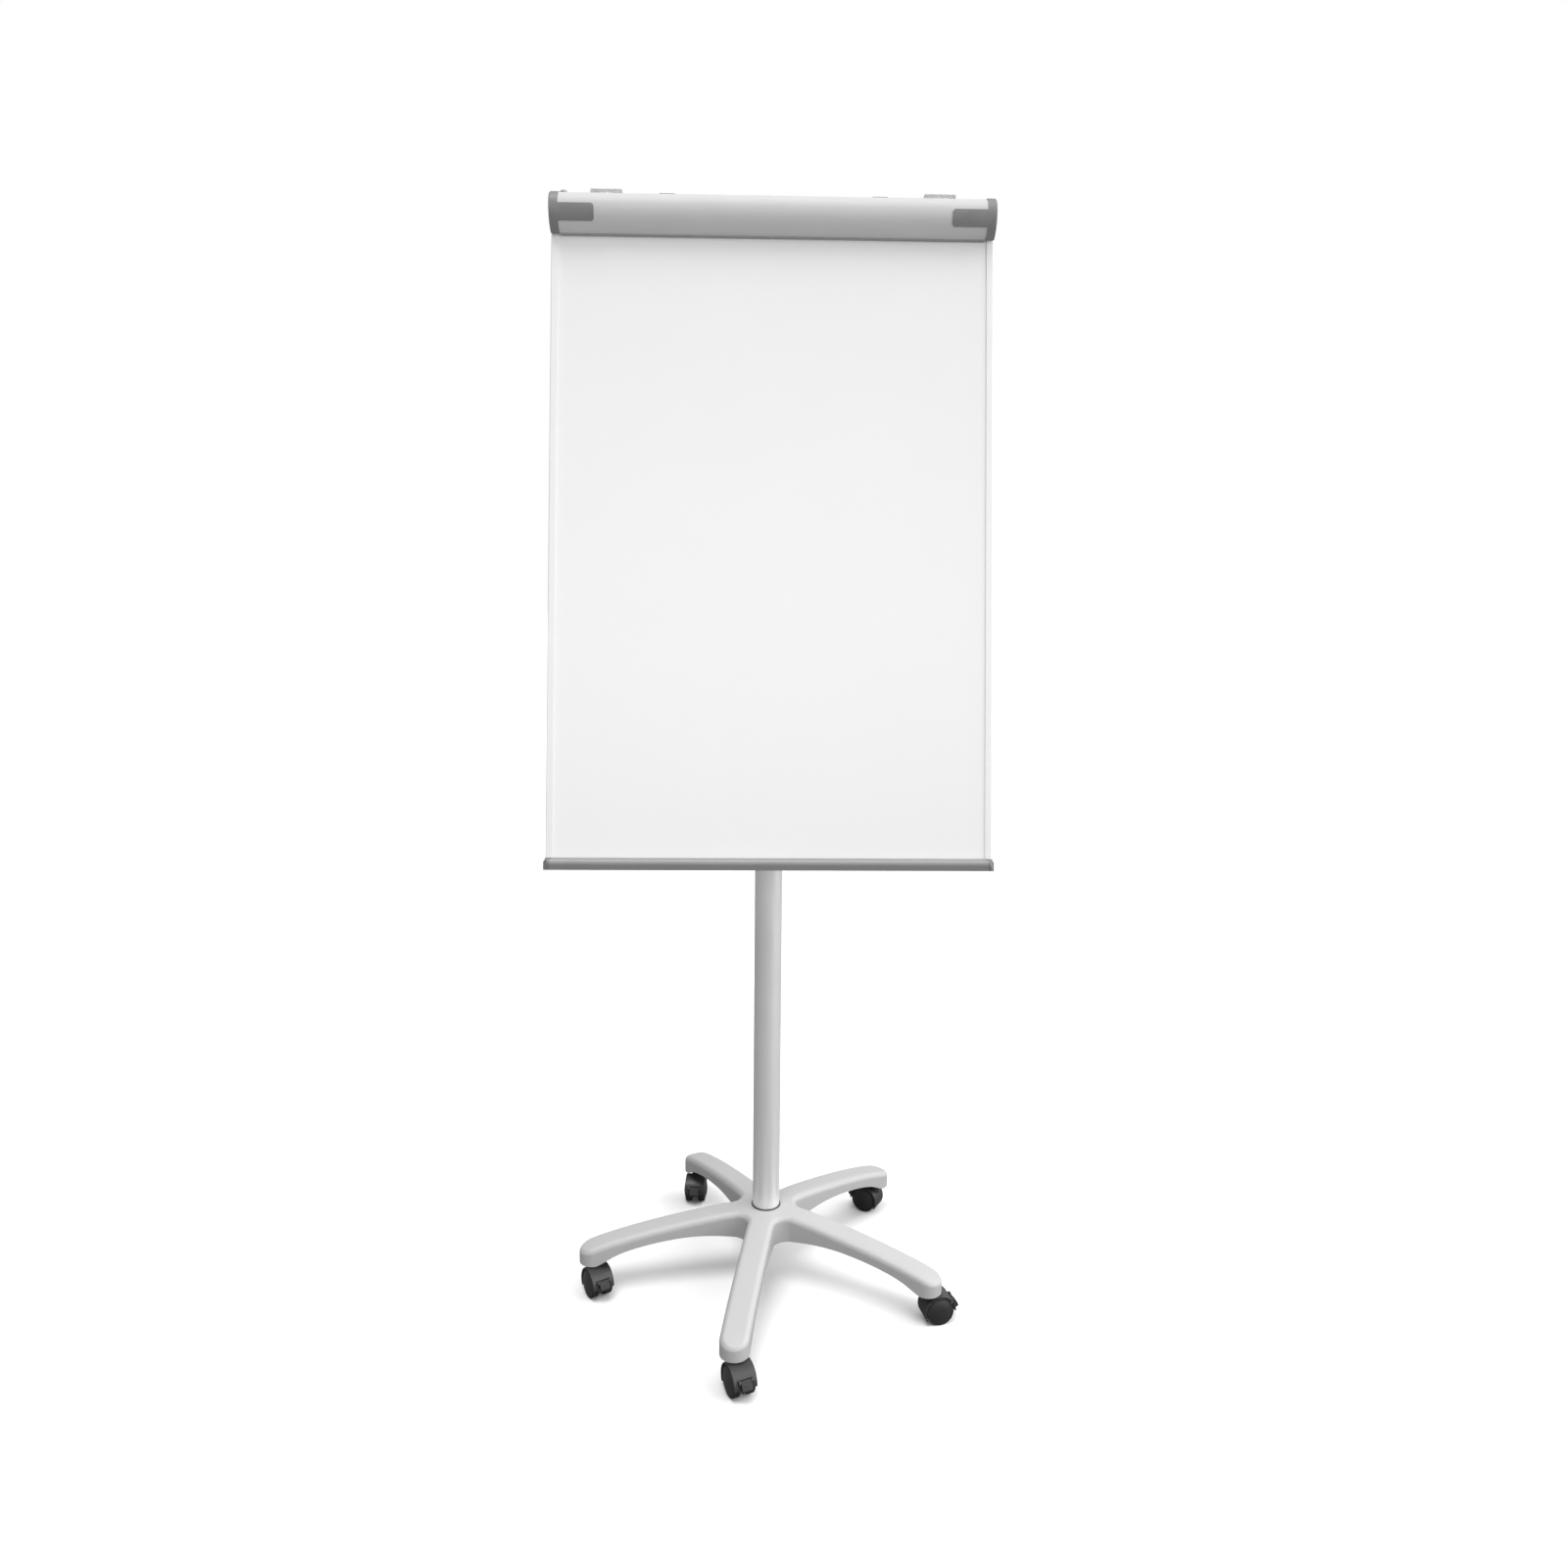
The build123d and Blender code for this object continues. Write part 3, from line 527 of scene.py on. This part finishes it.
def white_floor(seen_level, bounced_level):
    """Wide plain floor, with one grey for the camera and one for the light that it sends back up."""
    mat = bpy.data.materials.new("floor")
    mat.use_nodes = True
    tree = mat.node_tree
    tree.nodes.clear()
    seen = tree.nodes.new("ShaderNodeBsdfDiffuse")
    seen.inputs["Color"].default_value = (*grey(seen_level), 1)
    bounced = tree.nodes.new("ShaderNodeBsdfDiffuse")
    bounced.inputs["Color"].default_value = (*grey(bounced_level), 1)
    out = tree.nodes.new("ShaderNodeOutputMaterial")
    tree.links.new(seen_or_bounced(tree, seen, bounced).outputs[0], out.inputs["Surface"])
    bpy.ops.mesh.primitive_plane_add(size=60)
    floor = bpy.context.object
    floor.name = "floor"
    floor.data.materials.append(mat)


def studio(left, right):
    """White surroundings that light the object more from the right than from the left."""
    world = bpy.data.worlds.new("studio")
    scene.world = world
    world.use_nodes = True
    tree = world.node_tree
    tree.nodes.clear()
    place = tree.nodes.new("ShaderNodeTexCoord")
    split = tree.nodes.new("ShaderNodeSeparateXYZ")
    tree.links.new(place.outputs["Generated"], split.inputs["Vector"])
    bounced = tree.nodes.new("ShaderNodeBackground")
    tree.links.new(ranged(tree, split.outputs["X"], left, right, -1, 1), bounced.inputs["Strength"])
    seen = tree.nodes.new("ShaderNodeBackground")
    for node in (seen, bounced):
        node.inputs["Color"].default_value = (1, 1, 1, 1)
    out = tree.nodes.new("ShaderNodeOutputWorld")
    tree.links.new(seen_or_bounced(tree, seen, bounced).outputs[0], out.inputs["Surface"])


def soft_sun(name, towards, strength, spread):
    """Light from far away, from the given direction, with soft shadows."""
    lamp = bpy.data.lights.new(name, "SUN")
    lamp.energy = strength
    lamp.angle = radians(spread)
    obj = bpy.data.objects.new(name, lamp)
    obj.rotation_euler = Vector(towards).to_track_quat("Z", "Y").to_euler()
    scene.collection.objects.link(obj)


def low_softbox(place, aim, power):
    """Softbox in front of the stand, aimed up at the clamp and the tray, and kept out of reflections."""
    lamp = bpy.data.lights.new("low_softbox", "AREA")
    lamp.shape = "RECTANGLE"
    lamp.size, lamp.size_y = 1.6, 0.4
    lamp.energy = power
    obj = bpy.data.objects.new("low_softbox", lamp)
    obj.matrix_world = Matrix.Translation(place) @ Vector(aim).to_track_quat("-Z", "Y").to_matrix().to_4x4()
    obj.visible_camera = False
    obj.visible_glossy = False
    scene.collection.objects.link(obj)


white_floor(0.92, 0.18)
studio(0.34, 1.12)
soft_sun("key", (-0.12, -0.36, 1.0), 1.6, 28)
soft_sun("side", (1.0, -0.25, 0.5), 2.1, 75)
low_softbox((0, -1.15, 0.78), (0, 0.42, 1.0), 7.0)
# The panel's three sheets are set to cast no shadow at all, so the panel throws no shadow
for name in ("writing_sheet", "panel_core", "backing_sheet"):
    nodes[name].visible_shadow = False

# The photographer's viewpoint: a wide lens a little above the middle, turned slightly down
EYE = Vector((-0.0271, -1.9452, 1.1955))
YAW, PITCH, ROLL = radians(1.466), radians(5.901), radians(-0.527)
ahead = Vector((sin(YAW) * cos(PITCH), cos(YAW) * cos(PITCH), -sin(PITCH)))
level_right = Vector((cos(YAW), -sin(YAW), 0))
level_down = ahead.cross(level_right)
right = level_right * cos(ROLL) + level_down * sin(ROLL)
down = level_down * cos(ROLL) - level_right * sin(ROLL)
lens = bpy.data.cameras.new("view")
lens.sensor_width = 36.0
lens.lens = 27.659
lens.shift_y = -0.0575
lens.clip_end = 100
camera = bpy.data.objects.new("view", lens)
turn = Matrix((right, -down, -ahead)).transposed().to_4x4()
camera.matrix_world = Matrix.Translation(EYE) @ turn
scene.collection.objects.link(camera)
scene.camera = camera
scene.view_settings.view_transform = "Standard"
